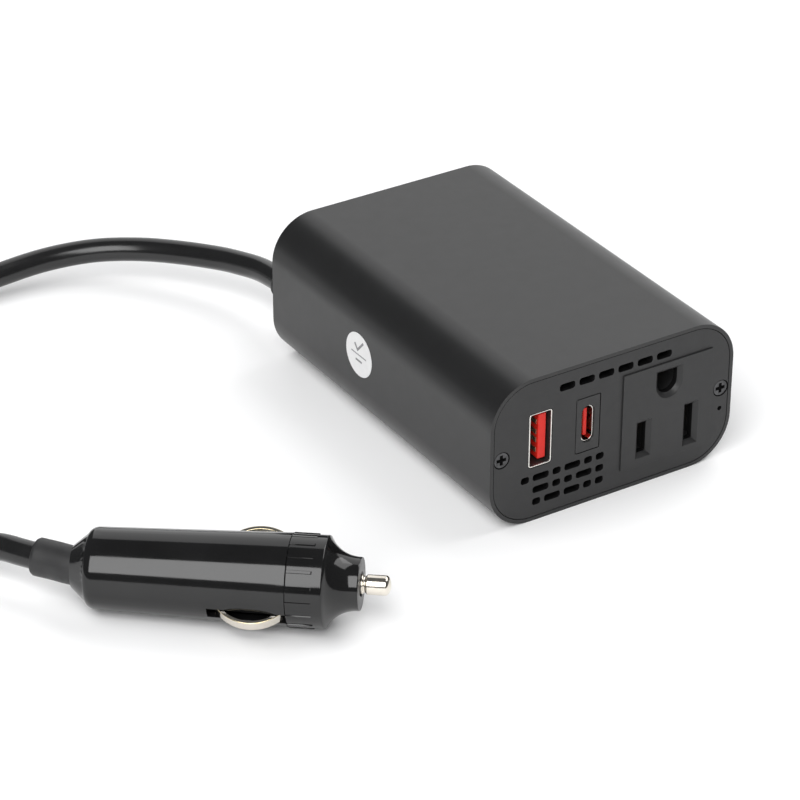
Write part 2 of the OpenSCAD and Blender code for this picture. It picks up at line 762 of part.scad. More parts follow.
// Outer shape of the coiled length
module cord_coil() {
    mid = (coil_r[0] + coil_r[1]) / 2;
    color("#131315") translate([coil_at[0], coil_at[1], (coil_z[0] + coil_z[1]) / 2])
        rotate_extrude() translate([mid, 0])
            rrect(coil_r[1] - coil_r[0], coil_z[1] - coil_z[0], 2.2);
}

// Band round the coil's turns
module coil_tie() {
    w = coil_r[1] - coil_r[0];
    h = coil_z[1] - coil_z[0];
    mid = (coil_r[0] + coil_r[1]) / 2;
    color("#2a2a2c") translate([coil_at[0], coil_at[1], (coil_z[0] + coil_z[1]) / 2])
        rotate([0, 0, tie_angle]) translate([mid, 3, 0]) rotate([90, 0, 0])
            linear_extrude(6) difference() {
                rrect(w + 1.3, h + 1.2, 2.6);
                rrect(w + 0.3, h + 0.2, 2.3);
            }
}

// ---------- plug ----------

// Puts a piece drawn in the plug's own frame in its place
module at_plug() {
    translate(plug_at) rotate([0, 0, plug_heading]) rotate([0, -plug_pitch, 0]) children();
}

// Turned piece of the plug: its profile has X along the axis and Y as the radius
module turned_x() {
    rotate([90, 0, 90]) rotate_extrude() mirror([1, 0]) rotate(90) children();
}

module plug_strain_relief() {
    color("#232325") sweep(relief_route, 4.1, 12);
}

// Handle: tapered shell with a rear shoulder, a stepped bore and two side slots
module plug_handle() {
    slot_rear = -23.85;
    slot_w = contact_w + 0.6;
    color("#121214") at_plug() difference() {
        turned_x() polygon(concat(
            [[handle_rear, 4.15], [handle_rear, 4.6], [-49.8, 7.6]],
            [for (a = [135:-9:90]) [-48, handle_r[0] - 2.4] + 2.4 * [cos(a), sin(a)]],
            [[seam, handle_r[1]], [seam, shell_bore], [-29, shell_bore], [-29, sleeve_r + fine],
             [-45, sleeve_r + fine], [-45, 4.15]]));
        for (s = [0, 180]) rotate([contact_roll + s, 0, 0])
            block([slot_rear, sleeve_r + 2, -slot_w / 2], [seam + 1, 12, slot_w / 2]);
    }
}

// Insulating tube round the fuse, threaded for the nose cap at its front
module fuse_sleeve() {
    color("#3a3a3d") at_plug() turned_x() polygon([
        [-44.5, fuse_r + 0.3], [-44.5, sleeve_r], [seam - 0.2, sleeve_r], [seam - 0.2, thread_r],
        [-14.5, thread_r], [-14.5, fuse_r + 0.3]]);
}

// Cup at the rear of the fuse that takes the lead's core
module fuse_terminal() {
    color("#c8a04a") at_plug() turned_x()
        polygon([[-43.5, 0], [-43.5, fuse_r], [-42.3, fuse_r], [-42.3, 0]]);
}

// Coil spring behind the fuse, as stacked turns
module tip_spring() {
    turns = 6;
    first = -41.95;
    last = fuse_x[0] - 0.35;
    color("#b9bbbe") at_plug() for (i = [0:turns - 1])
        translate([first + i * (last - first) / (turns - 1), 0, 0]) rotate([0, 90, 0])
            rotate_extrude() translate([2.4, 0]) circle(0.3, $fn = 16);
}

// Screw-off nose: ribbed ring, hollow cone, flat face and a threaded spigot
module nose_cap() {
    scoop = 7.08;
    rib_phase = 16.7;
    rib_end = -2.1;
    color("#141416") at_plug() {
        turned_x() difference() {
            polygon([[-13.7, 3.8], [-13.7, thread_r - fine], [seam + fine, thread_r - fine],
                     [seam + fine, cap_r], [0, cap_r], [cap_face, cap_r], [cap_face, pin_r + 0.7],
                     [cap_face - 0.6, pin_r + 0.08], [-0.9, pin_r + 0.08], [-0.9, 3.8]]);
            translate([6.5, 5.6 + scoop]) circle(scoop, $fn = 128);
            translate([6.5, 5.6]) square([2, 6]);
        }
        for (i = [0:cap_ribs - 1]) rotate([i * 360 / cap_ribs + rib_phase, 0, 0])
            block([seam + fine, cap_r - 0.2, -0.3], [rib_end, cap_r + 0.2, 0.3]);
    }
}

// Insulating washer between the nose cap and the tip's flange
module tip_washer() {
    color("#a86b3c") at_plug() turned_x()
        polygon([[-1.8, pin_r + 0.1], [-1.8, 3.5], [-0.95, 3.5], [-0.95, pin_r + 0.1]]);
}

// Centre contact: flange inside, a necked pin with a round end outside
module plug_tip() {
    color("#d6d0c6") at_plug() turned_x() polygon(concat(
        [[-3, 0], [-3, 3.4], [-1.85, 3.4], [-1.85, pin_r], [cap_face + 0.4, pin_r],
         [cap_face + 0.6, pin_r - 0.35], [cap_face + 1, pin_r - 0.35], [cap_face + 1.2, pin_r]],
        [for (a = [90:-10:10]) [12.05, 0] + [1.1 * cos(a), pin_r * sin(a)]],
        [[13.15, 0]]));
}

// End caps of the glass fuse and its wire
module fuse_caps() {
    color("#c4c6c8") at_plug() {
        turned_x() polygon([[fuse_x[0], 0], [fuse_x[0], fuse_r], [fuse_x[0] + 6, fuse_r],
            [fuse_x[0] + 6, 2.65], [fuse_x[0] + 0.5, 2.65], [fuse_x[0] + 0.5, 0]]);
        turned_x() polygon([[fuse_x[1], 0], [fuse_x[1], fuse_r], [fuse_x[1] - 6, fuse_r],
            [fuse_x[1] - 6, 2.65], [fuse_x[1] - 0.5, 2.65], [fuse_x[1] - 0.5, 0]]);
        translate([fuse_x[0] + 0.4, 0, 0]) rotate([0, 90, 0])
            cylinder(h = fuse_x[1] - fuse_x[0] - 0.8, r = 0.2);
    }
}

module fuse_glass() {
    color("#dfe9ea", 0.4) at_plug() turned_x()
        polygon([[fuse_x[0] + 0.6, 2.1], [fuse_x[0] + 0.6, 2.6], [fuse_x[1] - 0.6, 2.6],
                 [fuse_x[1] - 0.6, 2.1]]);
}

// Bowed leaf with a tab under the handle's wall
module side_contact() {
    bow = 8.9;                   // outside radius of the bow
    mid = -14.85;
    tab_r = 7.1;                 // inside of the tab, from the plug's axis
    tab_x = [-28, mid - 7.1];    // from its rear end to the bow
    base = contact_r - bow;
    linear_extrude(contact_w, center = true) {
        intersection() {
            translate([mid, base]) difference() {
                circle(bow, $fn = 128);
                circle(bow - contact_t, $fn = 128);
            }
            union() {
                translate([mid - 12, tab_r]) square([12, 10]);
                translate([mid - 0.1, 8.6]) square([12, 10]);
            }
        }
        translate([tab_x[0], tab_r]) square([tab_x[1] - tab_x[0], 0.6]);
    }
}

module side_contact_near() {
    color("#d6d0c6") at_plug() rotate([contact_roll + 180, 0, 0]) side_contact();
}

module side_contact_far() {
    color("#d6d0c6") at_plug() rotate([contact_roll, 0, 0]) side_contact();
}

housing_sleeve();
front_panel();
rear_panel();
front_screws();
rear_screws();
inspection_sticker();
status_led();
usb_a_shell();
usb_a_tongue();
usb_a_contacts();
usb_c_bezel();
usb_c_shell();
usb_c_tongue();
usb_c_contacts();
usb_board();
usb_board_parts();
board_header();
outlet_carrier();
line_contact();
neutral_contact();
ground_contact();
main_board();
insulating_sheet();
transformer_core();
transformer_winding();
transformer_bobbin();
choke_core();
choke_winding();
input_capacitors();
output_capacitor();
heat_sink();
power_transistors();
transistor_pads();
transistor_screws();
board_fuse();
control_chips();
red_wire();
black_wire();
fan_frame();
fan_stator();
fan_rotor();
fan_screws();
cord_gland();
cord_lead();
cord_coil();
cord_tail();
coil_tie();
plug_strain_relief();
plug_handle();
fuse_sleeve();
fuse_terminal();
tip_spring();
nose_cap();
tip_washer();
plug_tip();
fuse_caps();
fuse_glass();
side_contact_near();
side_contact_far();
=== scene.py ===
"""Looks of a pocket power inverter with a 12 V lead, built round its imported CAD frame."""

import json
import math

import bmesh
import bpy
from mathutils import Matrix, Vector


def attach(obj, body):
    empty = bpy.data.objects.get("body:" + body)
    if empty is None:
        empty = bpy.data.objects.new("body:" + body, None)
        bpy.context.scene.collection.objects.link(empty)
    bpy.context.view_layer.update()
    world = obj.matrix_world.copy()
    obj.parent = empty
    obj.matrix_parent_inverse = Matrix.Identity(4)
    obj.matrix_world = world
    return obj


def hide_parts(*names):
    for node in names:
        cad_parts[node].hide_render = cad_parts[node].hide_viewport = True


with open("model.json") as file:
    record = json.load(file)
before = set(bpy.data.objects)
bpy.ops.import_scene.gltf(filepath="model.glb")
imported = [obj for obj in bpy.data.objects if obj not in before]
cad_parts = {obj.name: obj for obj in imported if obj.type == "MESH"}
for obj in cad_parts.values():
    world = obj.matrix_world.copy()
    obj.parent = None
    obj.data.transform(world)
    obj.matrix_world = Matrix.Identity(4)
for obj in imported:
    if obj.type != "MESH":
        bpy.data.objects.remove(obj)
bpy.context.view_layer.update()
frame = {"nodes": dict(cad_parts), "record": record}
nodes = frame["nodes"]
record = frame["record"]
scene = bpy.context.scene
scene.view_settings.view_transform = "Standard"
MM = 0.001

BODY = {n: b for b, members in record["behaviour"]["bodies"].items() for n in members}
SLOT = {s["node"]: s["material_slot"] for s in record["subparts"]}


# ---------- camera ----------

CAM_AT = Vector((-378.384, -554.102, 397.212)) * MM
CAM_AZ, CAM_EL, CAM_ROLL = (math.radians(a) for a in (-32.466, 30.580, 0.282))
CAM_LENS, SENSOR = 153.343, 36.0

camera = bpy.data.objects.new("camera", bpy.data.cameras.new("camera"))
camera.data.lens, camera.data.sensor_width = CAM_LENS, SENSOR
camera.data.clip_start = 0.05
camera.matrix_world = (
    Matrix.Translation(CAM_AT)
    @ Matrix.Rotation(CAM_AZ, 4, "Z")
    @ Matrix.Rotation(math.pi / 2 - CAM_EL, 4, "X")
    @ Matrix.Rotation(CAM_ROLL, 4, "Z")
)
scene.collection.objects.link(camera)
scene.camera = camera


# ---------- helpers ----------

def new_object(name, data, body=None):
    """Links a new object and lets it ride on a CAD body."""
    obj = bpy.data.objects.new(name, data)
    scene.collection.objects.link(obj)
    if body:
        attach(obj, body)
    return obj


def baked(obj):
    """Applies the object's modifiers to its mesh."""
    bpy.context.view_layer.update()
    mesh = bpy.data.meshes.new_from_object(
        obj.evaluated_get(bpy.context.evaluated_depsgraph_get())
    )
    obj.modifiers.clear()
    obj.data = mesh


def smooth(obj, sharp_deg=60):
    """Smooth shading with sharp edges above the angle."""
    mesh = obj.data
    mesh.polygons.foreach_set("use_smooth", [True] * len(mesh.polygons))
    mesh.set_sharp_from_angle(angle=math.radians(sharp_deg))


WELD = 2e-6                         # metres between points that are one
FLAT_DEG = 0.4                      # faces this close to flat become one face
ROUNDED_DEG = 30                    # edges sharper than this are rounded over


def refined(node, materials, width, deep=None):
    """A copy of a CAD node with its edges rounded over. The second material is the edges', and
    the last one, a painted shade, goes on the faces that deep(centre, normal) picks."""
    mesh = nodes[node].data.copy()
    mesh.materials.clear()
    for m in materials:
        mesh.materials.append(m)
    bm = bmesh.new()
    bm.from_mesh(mesh)
    for f in bm.faces:
        f.material_index = 0
    bmesh.ops.remove_doubles(bm, verts=bm.verts[:], dist=WELD)
    bmesh.ops.dissolve_limit(
        bm, angle_limit=math.radians(FLAT_DEG), verts=bm.verts[:], edges=bm.edges[:]
    )
    if deep:
        for f in bm.faces:
            if deep(f.calc_center_median() / MM, f.normal):
                f.material_index = len(materials) - 1
    bm.to_mesh(mesh)
    bm.free()
    obj = new_object(node + "_look", mesh)
    smooth(obj)
    bevel = obj.modifiers.new("edges", "BEVEL")
    bevel.width, bevel.segments = width * MM, 2
    bevel.limit_method, bevel.angle_limit = "ANGLE", math.radians(ROUNDED_DEG)
    bevel.use_clamp_overlap = True
    bevel.miter_outer = "MITER_ARC"
    if len(materials) > 1:
        bevel.material = 1
    normals = obj.modifiers.new("normals", "WEIGHTED_NORMAL")
    normals.keep_sharp = True
    baked(obj)
    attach(obj, BODY[node])
    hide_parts(node)
    return obj


def tube(name, route, radii, sides=40):
    """Closed round tube along a route, with a radius at each point, in mm."""
    bm = bmesh.new()
    rings = []
    points = [Vector(p) * MM for p in route]
    for i, (p, r) in enumerate(zip(points, radii)):
        along = (points[min(i + 1, len(points) - 1)] - points[max(i - 1, 0)]).normalized()
        side = along.cross(Vector((0, 0, 1))).normalized()
        up = side.cross(along)
        rings.append([
            bm.verts.new(p + r * MM * (math.cos(a) * side + math.sin(a) * up))
            for a in (2 * math.pi * k / sides for k in range(sides))
        ])
    for a, b in zip(rings, rings[1:]):
        for k in range(sides):
            q = (k + 1) % sides
            bm.faces.new((a[q], a[k], b[k], b[q]))
    bm.faces.new(rings[0])
    bm.faces.new(rings[-1][::-1])
    bmesh.ops.recalc_face_normals(bm, faces=bm.faces[:])
    mesh = bpy.data.meshes.new(name)
    bm.to_mesh(mesh)
    bm.free()
    return mesh


def resampled(points, count):
    """Points on a smooth line through the given ones (Catmull-Rom)."""
    p = [Vector(q) for q in points]
    p = [2 * p[0] - p[1]] + p + [2 * p[-1] - p[-2]]
    spans, out = len(points) - 1, []
    for k in range(count):
        t = k / (count - 1) * spans
        i = min(int(t), spans - 1)
        t -= i
        a, b, c, d = p[i:i + 4]
        out.append(0.5 * (
            2 * b + (c - a) * t + (2 * a - 5 * b + 4 * c - d) * t * t
            + (3 * b - a - 3 * c + d) * t * t * t
        ))
    return out


# ---------- lead ----------

CORD_D = 5.8
COIL_AT = (-142.0, 67.0)
COIL_R0, COIL_PITCH = 37.5, 5.9     # first turn's radius, and how far each turn is inside the last
COIL_Z = 3.5
COIL_FROM, COIL_TO, COIL_STEP = 100, 905, 20    # degrees of the coil's points
CLIMB_FROM, CLIMB_DEG, CLIMB_H = 850, 86, 4.9   # where it climbs, over what turn, and how high
LEAD = [
    (-23.3, 55.3, 12.62), (-23.4, 60, 12.35), (-23.9, 66, 11.7), (-25.6, 72, 10.95),
    (-28.2, 78, 10.3), (-34, 87, 9.4), (-41, 95, 8.6), (-50, 101.4, 7.8), (-61, 105, 6.8),
    (-73, 105.7, 5.8), (-85, 105.4, 4.8), (-98, 105, 4), (-112, 104.8, 3.6),
    (-126, 104.7, 3.5), (-136, 104.6, 3.5),
]
TAIL = [
    (-164.5, 58.5, 6.4), (-161.4, 52.4, 7.8), (-156.7, 47.1, 8.8), (-150.6, 41.5, 9.4),
    (-145, 34.5, 9.6), (-140.4, 26.6, 8.8), (-137.1, 19.6, 6.7), (-134.6, 10.7, 5.1),
    (-132.7, 3.9, 5.7), (-130.9, -0.9, 7.1), (-128.1, -6.3, 8.6), (-126, -10.5, 9),
    (-124, -13.9, 9.1),
]
LEAD_RINGS, LEAD_SIDES = 460, 28    # rings of the lead's tube, and the sides of each


def coil_points():
    """The flat coil, wound inwards, whose last points climb over its own lanes."""
    out = []
    for deg in range(COIL_FROM, COIL_TO, COIL_STEP):
        r = COIL_R0 - COIL_PITCH * (deg - 90) / 360
        lift = max(0.0, (deg - CLIMB_FROM) / CLIMB_DEG)
        a = math.radians(deg)
        out.append((
            COIL_AT[0] + r * math.cos(a), COIL_AT[1] + r * math.sin(a),
            COIL_Z + CLIMB_H * lift * lift,
        ))
    return out


lead_line = resampled(LEAD + coil_points() + TAIL, LEAD_RINGS)
lead_mesh = tube("lead", lead_line, [CORD_D / 2] * LEAD_RINGS, LEAD_SIDES)
lead = new_object("lead", lead_mesh, "inverter")
smooth(lead)
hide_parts("cord_lead", "cord_coil", "cord_tail")


# ---------- materials ----------

def node_tree(name):
    """A new material with its tree, its main shader and coordinates in metres."""
    mat = bpy.data.materials.new(name)
    mat.use_nodes = True
    tree = mat.node_tree
    shader = tree.nodes["Principled BSDF"]
    coords = tree.nodes.new("ShaderNodeTexCoord")
    return mat, tree, shader, coords.outputs["Object"]


def noise(tree, coords, size_mm, detail=3.0, rough=0.5, stretch=None):
    """Noise whose features are about size_mm across."""
    tex = tree.nodes.new("ShaderNodeTexNoise")
    tex.inputs["Scale"].default_value = 1 / (size_mm * MM)
    tex.inputs["Detail"].default_value = detail
    tex.inputs["Roughness"].default_value = rough
    if stretch:
        mapping = tree.nodes.new("ShaderNodeMapping")
        mapping.inputs["Rotation"].default_value = stretch[1]
        mapping.inputs["Scale"].default_value = stretch[0]
        tree.links.new(coords, mapping.inputs["Vector"])
        coords = mapping.outputs["Vector"]
    tree.links.new(coords, tex.inputs["Vector"])
    return tex.outputs["Fac"]


def ramp(tree, value, low, high):
    """Stretches the middle of a noise over low to high."""
    node = tree.nodes.new("ShaderNodeMapRange")
    node.inputs["From Min"].default_value, node.inputs["From Max"].default_value = 0.3, 0.7
    node.inputs["To Min"].default_value, node.inputs["To Max"].default_value = low, high
    tree.links.new(value, node.inputs["Value"])
    return node.outputs["Result"]


def mixed(tree, factor, a, b):
    """One colour fading into another. Each is a colour or another node's output."""
    node = tree.nodes.new("ShaderNodeMix")
    node.data_type = "RGBA"
    tree.links.new(factor, node.inputs["Factor"])
    for socket, value in ((node.inputs["A"], a), (node.inputs["B"], b)):
        if isinstance(value, bpy.types.NodeSocket):
            tree.links.new(value, socket)
        else:
            socket.default_value = (*value, 1)
    return node.outputs["Result"]


def surface(name, color, rough, metallic=0.0, tint=None, patch=6.0, grain=0.2, bump=0.15,
            bump_mm=0.02, spread=0.06, coat=0.0, specular=0.5, stretch=None):
    """Procedural finish: patches of a second tint, roughness that varies, and a fine grain."""
    mat, tree, shader, coords = node_tree(name)
    tint = tint or tuple(min(1, c * 1.25 + 0.002) for c in color)
    patches = ramp(tree, noise(tree, coords, patch, 4), 0, 1)
    fine = noise(tree, coords, grain, 2, 0.6, stretch)
    tree.links.new(mixed(tree, patches, color, tint), shader.inputs["Base Color"])
    wear = noise(tree, coords, patch * 0.4, 5, 0.6, stretch)
    tree.links.new(ramp(tree, wear, rough - spread, rough + spread), shader.inputs["Roughness"])
    node = tree.nodes.new("ShaderNodeBump")
    node.inputs["Strength"].default_value = bump
    node.inputs["Distance"].default_value = bump_mm * MM
    tree.links.new(fine, node.inputs["Height"])
    tree.links.new(node.outputs["Normal"], shader.inputs["Normal"])
    shader.inputs["Metallic"].default_value = metallic
    shader.inputs["Coat Weight"].default_value = coat
    shader.inputs["Coat Roughness"].default_value = 0.1
    shader.inputs["Specular IOR Level"].default_value = specular
    return mat


def grey(v):
    """A dark neutral that leans a little to blue."""
    return (v, v, v * 1.03)


MAT = {
    "sleeve": surface("sleeve_anodised", grey(0.011), 0.37, tint=grey(0.0125), patch=9, grain=0.16,
                      bump=0.3, bump_mm=0.01, spread=0.02),
    "sleeve_edge": surface("sleeve_rim", grey(0.016), 0.34, patch=4, grain=0.14, bump=0.3,
                           bump_mm=0.01, spread=0.04),
    "panel": surface("panel_moulded", grey(0.014), 0.46, tint=grey(0.0155), patch=5, grain=0.11,
                     bump=0.45, bump_mm=0.015, spread=0.03),
    "panel_edge": surface("panel_edge", grey(0.017), 0.4, patch=3, grain=0.1, bump=0.2,
                          bump_mm=0.01, spread=0.04),
    "bezel": surface("bezel_moulded", grey(0.012), 0.4, patch=3, grain=0.1, bump=0.3, bump_mm=0.01),
    "screw": surface("screw_black_oxide", grey(0.06), 0.34, metallic=0.85, tint=grey(0.1),
                     patch=0.7, grain=0.12, bump=0.3, bump_mm=0.01, spread=0.08),
    "label": surface("label_paper", (0.76, 0.76, 0.76), 0.5, tint=(0.72, 0.72, 0.72), patch=2,
                     grain=0.15, bump=0.2, bump_mm=0.01),
    "mark": surface("label_ink", grey(0.2), 0.6, patch=0.4, grain=0.1, bump=0.1),
    "lamp": surface("lamp_guide", (0.012, 0.02, 0.014), 0.3, patch=1, grain=0.2, coat=0.3),
    "nickel": surface("nickel_plate", (0.8, 0.755, 0.68), 0.17, metallic=1.0,
                      tint=(0.72, 0.67, 0.59), patch=2.2, grain=0.12, bump=0.12, bump_mm=0.01,
                      spread=0.05),
    "nickel_edge": surface("nickel_edge", (0.84, 0.74, 0.52), 0.2, metallic=1.0,
                           tint=(0.7, 0.6, 0.38), patch=1.2, grain=0.1, bump=0.15, bump_mm=0.01),
    "port_steel": surface("port_steel", (0.83, 0.81, 0.77), 0.16, metallic=1.0,
                          tint=(0.7, 0.68, 0.64), patch=1.8, grain=0.1, bump=0.15, bump_mm=0.01,
                          stretch=((1, 0.15, 1), (0, 0, 0))),
    # Painted shade: a darkened copy of the port steel for the inside walls of the USB-A shell
    "port_painted_shade": surface("port_painted_shade", (0.2, 0.19, 0.18), 0.4, metallic=0.9,
                           tint=(0.15, 0.145, 0.14), patch=1.8, grain=0.1, bump=0.15, bump_mm=0.01),
    "port_red": surface("port_insulator", (0.66, 0.018, 0.011), 0.38, tint=(0.72, 0.024, 0.015),
                        patch=1.5, grain=0.12, bump=0.2, bump_mm=0.01, specular=0.3),
    "gold": surface("gold_plate", (0.4, 0.34, 0.25), 0.36, metallic=0.9, tint=(0.5, 0.42, 0.28),
                    patch=0.8, grain=0.08, bump=0.1, bump_mm=0.005),
    # Brass hue darkened far below bare brass: painted shade for the sprung contacts seen deep in
    # the outlet's holes
    "brass": surface("brass_painted_shade", (0.2, 0.14, 0.06), 0.5, metallic=1.0, tint=(0.26, 0.18, 0.08),
                     patch=2, grain=0.1, bump=0.15, bump_mm=0.01),
    # Painted shade: a near black for the walls inside the panels' openings, the screws' shanks and
    # the side contacts under the plug's handle
    "cavity": surface("painted_shade_wall", grey(0.0035), 0.7, patch=2, grain=0.12, bump=0.2,
                      bump_mm=0.01, specular=0.12),
    "board": surface("solder_mask", (0.012, 0.11, 0.045), 0.3, tint=(0.016, 0.16, 0.06), patch=2.5,
                     grain=0.3, bump=0.3, bump_mm=0.02, coat=0.4),
    "sheet": surface("insulating_film", (0.62, 0.58, 0.46), 0.4, patch=8, grain=0.6, bump=0.2),
    "black_part": surface("moulding_compound", grey(0.018), 0.45, patch=2, grain=0.12, bump=0.3,
                          bump_mm=0.01),
    "ferrite": surface("ferrite", grey(0.06), 0.55, tint=grey(0.1), patch=0.8, grain=0.15,
                       bump=0.5, bump_mm=0.03),
    "tape": surface("polyester_tape", (0.7, 0.45, 0.04), 0.25, tint=(0.78, 0.55, 0.08), patch=3,
                    grain=0.5, bump=0.3, bump_mm=0.03, coat=0.5, stretch=((1, 1, 0.1), (0, 0, 0))),
    "choke": surface("powder_core", (0.2, 0.3, 0.1), 0.5, tint=(0.26, 0.36, 0.14), patch=1,
                     grain=0.2, bump=0.4, bump_mm=0.03),
    "copper": surface("enamelled_copper", (0.75, 0.33, 0.14), 0.25, metallic=0.9,
                      tint=(0.6, 0.22, 0.08), patch=1.5, grain=0.25, bump=0.5, bump_mm=0.05,
                      coat=0.5, stretch=((1, 1, 0.3), (0, 0, 0.4))),
    "can": surface("capacitor_sleeve", (0.012, 0.02, 0.06), 0.25, tint=(0.02, 0.03, 0.09), patch=4,
                   grain=0.3, bump=0.1, coat=0.4),
    "aluminium": surface("extruded_aluminium", (0.74, 0.75, 0.76), 0.35, metallic=1.0,
                         tint=(0.62, 0.63, 0.64), patch=3, grain=0.15, bump=0.3, bump_mm=0.015,
                         stretch=((1, 0.05, 1), (0, 0, 0))),
    "pad": surface("thermal_pad", (0.3, 0.34, 0.38), 0.7, patch=1, grain=0.2, bump=0.4),
    "fuse_red": surface("fuse_body", (0.55, 0.05, 0.02), 0.3, patch=1, grain=0.2, coat=0.4),
    "wire_red": surface("wire_red", (0.45, 0.012, 0.01), 0.35, patch=2, grain=0.3),
    "wire_black": surface("wire_black", grey(0.015), 0.35, patch=2, grain=0.3),
    "cord": surface("lead_jacket", grey(0.008), 0.22, patch=14, grain=0.35, bump=0.12,
                    bump_mm=0.02, spread=0.05, specular=0.55),
    "relief": surface("relief_rubber", grey(0.016), 0.5, patch=3, grain=0.22, bump=0.6,
                      bump_mm=0.04, spread=0.06),
    "plug_black": surface("plug_gloss", grey(0.005), 0.1, patch=11, grain=0.5, bump=0.04,
                          bump_mm=0.015, spread=0.02, specular=0.5),
    "plug_face": surface("nose_face", grey(0.07), 0.4, patch=2, grain=0.15, bump=0.3, bump_mm=0.02),
    "plug_inner": surface("plug_inner", grey(0.02), 0.5, patch=2, grain=0.2),
    "spring": surface("spring_wire", (0.62, 0.62, 0.62), 0.25, metallic=1.0, patch=1, grain=0.1),
    "fibre": surface("fibre_washer", (0.3, 0.13, 0.05), 0.7, tint=(0.38, 0.18, 0.08), patch=0.5,
                     grain=0.15, bump=0.6, bump_mm=0.03),
}


def glass(name):
    """Clear glass with slightly uneven polish."""
    mat, tree, shader, coords = node_tree(name)
    shader.inputs["Base Color"].default_value = (0.92, 0.97, 0.96, 1)
    shader.inputs["Transmission Weight"].default_value = 1.0
    shader.inputs["IOR"].default_value = 1.5
    tree.links.new(ramp(tree, noise(tree, coords, 1.5), 0.02, 0.06), shader.inputs["Roughness"])
    return mat


MAT["fuse_glass"] = glass("fuse_glass")
lead.data.materials.append(MAT["cord"])


# ---------- pieces ----------

# Edge rounding in mm of each CAD node that is shown as a rounded copy
ROUNDED = {
    "housing_sleeve": 0.3, "front_panel": 0.14, "rear_panel": 0.14, "front_screws": 0.2,
    "rear_screws": 0.2, "fan_screws": 0.2, "status_led": 0.08, "usb_a_shell": 0.1,
    "usb_a_tongue": 0.12, "usb_c_bezel": 0.1, "usb_c_shell": 0.08, "usb_c_tongue": 0.1,
    "inspection_sticker": 0.03, "outlet_carrier": 0.2, "line_contact": 0.08,
    "neutral_contact": 0.08, "ground_contact": 0.08, "fan_frame": 0.2, "fan_rotor": 0.15,
    "cord_gland": 0.25, "coil_tie": 0.15, "plug_handle": 0.25,
    "plug_tip": 0.15, "side_contact_near": 0.12, "side_contact_far": 0.12,
    "transformer_core": 0.3, "transformer_winding": 0.3, "transformer_bobbin": 0.15,
    "choke_core": 0.3, "choke_winding": 0.3, "heat_sink": 0.15, "power_transistors": 0.15,
    "main_board": 0.1, "usb_board": 0.1, "board_fuse": 0.2, "control_chips": 0.1,
    "usb_board_parts": 0.1, "tip_washer": 0.1, "fuse_sleeve": 0.1,
}
EDGE = {
    "housing_sleeve": "sleeve_edge", "front_panel": "panel_edge", "rear_panel": "panel_edge",
    "side_contact_near": "nickel_edge", "side_contact_far": "nickel_edge",
}
SPECIAL = {"usb_c_bezel": "bezel"}
# The painted shade on a node's deep faces, where it is not the near black one
INSIDE = {"usb_a_shell": "port_painted_shade"}
BUILT_HERE = ("cord_lead", "cord_coil", "cord_tail", "plug_strain_relief", "nose_cap")

# The plug's own frame: X along its axis towards the tip, 0 at the nose cap's shoulder
PLUG_AT = Vector((-78.4, -55.4, 10.05)) * MM
PLUG_HEADING, PLUG_PITCH = math.radians(-40.4), math.radians(1.4)
PLUG = (
    Matrix.Translation(PLUG_AT)
    @ Matrix.Rotation(PLUG_HEADING, 4, "Z")
    @ Matrix.Rotation(-PLUG_PITCH, 4, "Y")
)
USB_A_AT = (-19.08, 20.15)          # x and z of the middle of the USB-A port
USB_A_INNER = (2.8, 6.5)            # half its shell, to the middle of the wall
HANDLE_BORE = 8.15                  # inside of the handle's wall, from the plug's axis

PANEL_IN, PANEL_OUT = 43.4, 45.35   # faces of both panels, from the middle
LIP, HEAD_T = 0.1, 0.25             # how far in from the outer face the painted shade starts
SIDEWAYS = 0.3                      # a wall's normal has less than this along the depth


# Masks of the faces that take painted shade: opening walls, shanks below the head, the USB-A
# shell's inside, contacts under the handle
def wall_of_opening(c, n):
    return abs(n.y) < SIDEWAYS and PANEL_IN < abs(c.y) < PANEL_OUT - LIP


def below_head(c, n):
    return abs(c.y) < PANEL_OUT - HEAD_T


def inside_usb_a(c, n):
    x, z = abs(c.x - USB_A_AT[0]), abs(c.z - USB_A_AT[1])
    return abs(n.y) < SIDEWAYS and x < USB_A_INNER[0] and z < USB_A_INNER[1]


def under_handle(c, n):
    p = PLUG.inverted() @ (c * MM)
    return math.hypot(p.y, p.z) < HANDLE_BORE * MM


# The faces of a node that take its darker inside material, a painted shade where shade falls
DEEP = {
    "usb_a_shell": inside_usb_a,
    "side_contact_near": under_handle, "side_contact_far": under_handle,
    "front_panel": wall_of_opening, "rear_panel": wall_of_opening,
    "front_screws": below_head, "rear_screws": below_head,
}
MATERIAL = {n: MAT[SPECIAL.get(n, s)] for n, s in SLOT.items()}

looks = {}
for name in nodes:
    if name in BUILT_HERE:
        continue
    if name in ROUNDED:
        mats = [MATERIAL[name]] + ([MAT[EDGE[name]]] if name in EDGE else [])
        if name in DEEP:
            mats = [mats[0], mats[-1], MAT[INSIDE.get(name, "cavity")]]
        looks[name] = refined(name, mats, ROUNDED[name], deep=DEEP.get(name))
    else:
        for material_slot in nodes[name].material_slots:
            material_slot.material = MATERIAL[name]


# The tie's band is drawn in around the two lanes it holds: its place, and how far each side moves
TIE_DEG, TIE_MID, TIE_PULL = 330, 30.55, 4.2
tie_out = Vector((math.cos(math.radians(TIE_DEG)), math.sin(math.radians(TIE_DEG)), 0))
for v in looks["coil_tie"].data.vertices:
    from_mid = (v.co / MM - Vector((*COIL_AT, 0))).dot(tie_out) - TIE_MID
    v.co -= math.copysign(TIE_PULL, from_mid) * MM * tie_out


